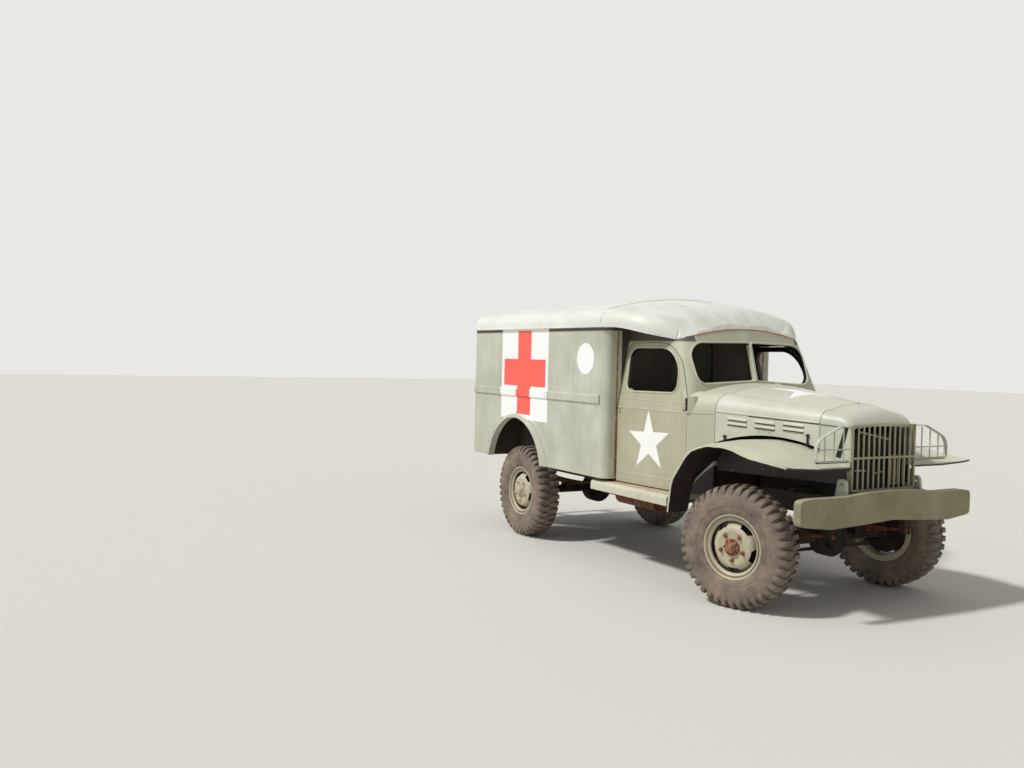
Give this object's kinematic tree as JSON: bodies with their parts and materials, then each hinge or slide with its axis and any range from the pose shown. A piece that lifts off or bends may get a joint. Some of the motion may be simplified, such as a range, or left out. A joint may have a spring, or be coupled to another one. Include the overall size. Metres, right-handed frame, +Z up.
{
  "type": "military ambulance truck",
  "caption": "Short-bonneted military ambulance truck with a steel box body, open cab windows, barred grille, lamp guards, leaf-sprung axles, opening doors and hood, and steered wheels.",
  "frame": {"origin": "centre of the bounding box in plan, on the floor", "axes": "+X forward, +Y to the truck's left, +Z up"},
  "size_m": [4.94, 2.092, 2.3479],
  "materials": {
    "body_paint": "faded matt olive enamel",
    "roof_paint": "bleached matt enamel",
    "chassis_paint": "dusty matt enamel",
    "inner_paint": "worn matt enamel",
    "wheel_paint": "faded matt enamel",
    "spring_steel": "rusty",
    "engine_iron": "rough, rusty",
    "tyre": "weathered, dusty"
  },
  "bodies": {
    "root": {"frame_rails": "chassis_paint", "frame_crossmembers": "chassis_paint", "spring_hangers": "chassis_paint", "springs_front": "spring_steel", "springs_rear": "spring_steel", "axle_front": "chassis_paint", "axle_rear": "chassis_paint", "engine_block": "engine_iron", "gearbox": "chassis_paint", "prop_shafts": "chassis_paint", "radiator": "engine_iron", "fuel_tank": "body_paint", "exhaust": "spring_steel", "bumper_front": "body_paint", "tow_eyes": "chassis_paint", "fender_left": "body_paint", "fender_right": "body_paint", "nose_panel": "body_paint", "hood_hinge": "body_paint", "grille": "body_paint", "lamp_guards": "body_paint", "cowl": "body_paint", "roof_rear": "roof_paint", "roof_front": "roof_paint", "cab_upper": "body_paint", "cab_floor": "inner_paint", "firewall": "inner_paint", "seat_boxes": "inner_paint", "body_side_left": "body_paint", "body_side_right": "body_paint", "rub_rails": "body_paint", "body_floor": "inner_paint", "locker_left": "inner_paint", "locker_right": "inner_paint", "bulkhead": "inner_paint", "rear_frame": "body_paint", "running_boards": "chassis_paint", "step_brackets": "chassis_paint"},
    "knuckle_right_body": {"knuckle_right": "chassis_paint"},
    "front_wheel_right": {"tyre_front_right": "tyre", "wheel_front_right": "wheel_paint"},
    "rear_wheel_right": {"tyre_rear_right": "tyre", "wheel_rear_right": "wheel_paint"},
    "door_right": {"cab_door_right": "body_paint"},
    "back_door_right": {"rear_door_right": "body_paint"},
    "hood_half_right": {"hood_right": "body_paint"},
    "knuckle_left_body": {"knuckle_left": "chassis_paint"},
    "front_wheel_left": {"tyre_front_left": "tyre", "wheel_front_left": "wheel_paint"},
    "rear_wheel_left": {"tyre_rear_left": "tyre", "wheel_rear_left": "wheel_paint"},
    "door_left": {"cab_door_left": "body_paint"},
    "back_door_left": {"rear_door_left": "body_paint"},
    "hood_half_left": {"hood_left": "body_paint"},
    "track_rod": {"tie_rod": "chassis_paint"},
    "step": {"rear_step": "body_paint"}
  },
  "joints": [
    {"name": "steer_right", "type": "hinge", "parent": "root", "child": "knuckle_right_body", "pos_m": [1.758, -0.7125, 0.45], "axis": [0, 0, 1], "range_deg": [-47, 13]},
    {"name": "spin_front_right", "type": "hinge", "parent": "knuckle_right_body", "child": "front_wheel_right", "pos_m": [1.79016, -0.81769, 0.45], "axis": [-0.2924, 0.9563, 0], "continuous": true},
    {"name": "spin_rear_right", "type": "hinge", "parent": "root", "child": "rear_wheel_right", "pos_m": [-1.315, -0.8225, 0.45], "axis": [0, 1, 0], "continuous": true},
    {"name": "door_right_swing", "type": "hinge", "parent": "root", "child": "door_right", "pos_m": [1.08929, -0.77186, 1.2], "axis": [0, 0, 1], "range_deg": [0, 65]},
    {"name": "back_door_right_swing", "type": "hinge", "parent": "root", "child": "back_door_right", "pos_m": [-2.311, -0.6025, 1.4], "axis": [0, 0, 1], "range_deg": [0, 110]},
    {"name": "hood_right_lift", "type": "hinge", "parent": "root", "child": "hood_half_right", "pos_m": [1.261, 0, 1.619], "axis": [-0.9923, 0, 0.1239], "range_deg": [0, 60]},
    {"name": "steer_left", "type": "hinge", "parent": "root", "child": "knuckle_left_body", "pos_m": [1.758, 0.7125, 0.45], "axis": [0, 0, 1], "range_deg": [-47, 13]},
    {"name": "spin_front_left", "type": "hinge", "parent": "knuckle_left_body", "child": "front_wheel_left", "pos_m": [1.72584, 0.81769, 0.45], "axis": [-0.2924, 0.9563, 0], "continuous": true},
    {"name": "spin_rear_left", "type": "hinge", "parent": "root", "child": "rear_wheel_left", "pos_m": [-1.315, 0.8225, 0.45], "axis": [0, 1, 0], "continuous": true},
    {"name": "door_left_swing", "type": "hinge", "parent": "root", "child": "door_left", "pos_m": [1.08929, 0.77186, 1.2], "axis": [0, 0, -1], "range_deg": [0, 65]},
    {"name": "back_door_left_swing", "type": "hinge", "parent": "root", "child": "back_door_left", "pos_m": [-2.311, 0.6025, 1.4], "axis": [0, 0, -1], "range_deg": [0, 110]},
    {"name": "hood_left_lift", "type": "hinge", "parent": "root", "child": "hood_half_left", "pos_m": [1.261, 0, 1.619], "axis": [0.9923, 0, -0.1239], "range_deg": [0, 60]},
    {"name": "tie_rod_swivel", "type": "hinge", "parent": "knuckle_right_body", "child": "track_rod", "pos_m": [1.64324, -0.74759, 0.336], "axis": [0, 0, 1], "range_deg": [-13, 47]},
    {"name": "step_fold", "type": "hinge", "parent": "root", "child": "step", "pos_m": [-2.43, 0, 0.545], "axis": [0, -1, 0], "range_deg": [0, 90]}
  ],
  "couplings": [
    {"joint": "steer_left", "follows": "steer_right", "ratio": 1},
    {"joint": "tie_rod_swivel", "follows": "steer_right", "ratio": -1}
  ]
}
